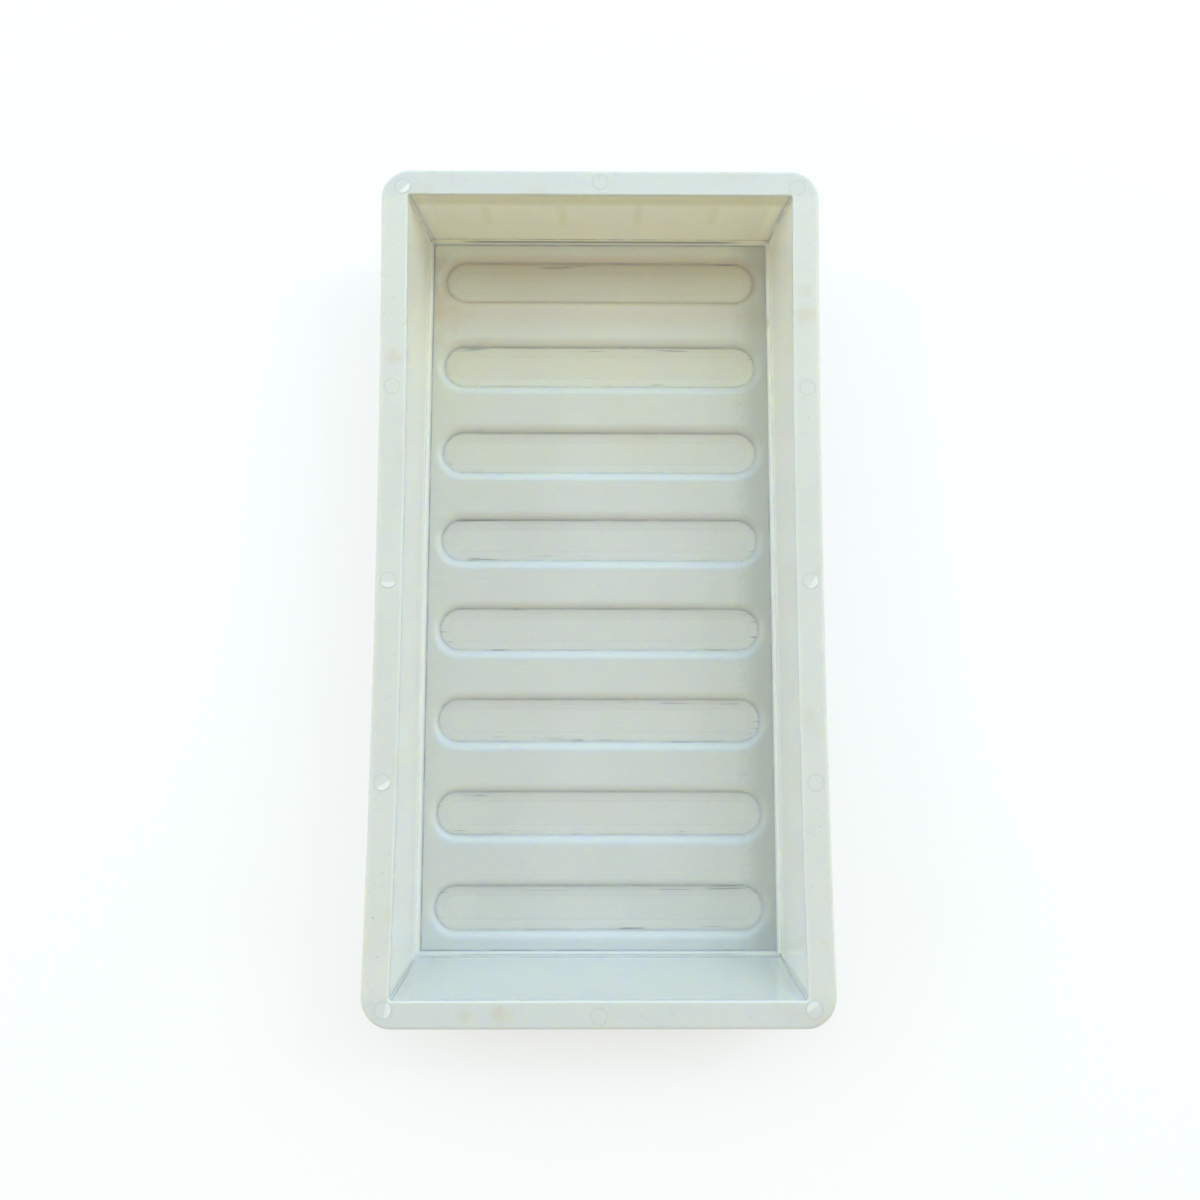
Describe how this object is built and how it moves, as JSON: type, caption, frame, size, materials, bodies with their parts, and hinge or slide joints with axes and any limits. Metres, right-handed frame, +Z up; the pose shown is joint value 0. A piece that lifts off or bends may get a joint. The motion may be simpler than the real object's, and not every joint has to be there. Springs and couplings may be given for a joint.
{
  "type": "paint roller tray",
  "caption": "Rectangular plastic tray with drafted walls, a flat rim with a turned-down edge, and long rounded grooves across its flat floor to load a paint roller",
  "frame": {"origin": "middle of the tray's footprint, on the surface that it stands on", "axes": "+X across the tray to its right side, +Y along the tray to its back end, +Z up out of the mouth"},
  "size_m": [0.3, 0.563, 0.0725],
  "materials": {
    "tray_plastic": "natural translucent polypropylene, off-white with a green tint, glossy from the mould, lightly scuffed"
  },
  "bodies": {
    "root": {"floor_panel": "tray_plastic", "groove_1": "tray_plastic", "groove_2": "tray_plastic", "groove_3": "tray_plastic", "groove_4": "tray_plastic", "groove_5": "tray_plastic", "groove_6": "tray_plastic", "groove_7": "tray_plastic", "groove_8": "tray_plastic", "wall_left": "tray_plastic", "wall_right": "tray_plastic", "wall_front": "tray_plastic", "wall_back": "tray_plastic", "rim_left": "tray_plastic", "rim_right": "tray_plastic", "rim_front": "tray_plastic", "rim_back": "tray_plastic", "rim_corner_front_left": "tray_plastic", "rim_corner_front_right": "tray_plastic", "rim_corner_back_left": "tray_plastic", "rim_corner_back_right": "tray_plastic", "skirt_left": "tray_plastic", "skirt_right": "tray_plastic", "skirt_front": "tray_plastic", "skirt_back": "tray_plastic", "gussets_left": "tray_plastic", "gussets_right": "tray_plastic", "gussets_front": "tray_plastic", "gussets_back": "tray_plastic"}
  },
  "joints": []
}
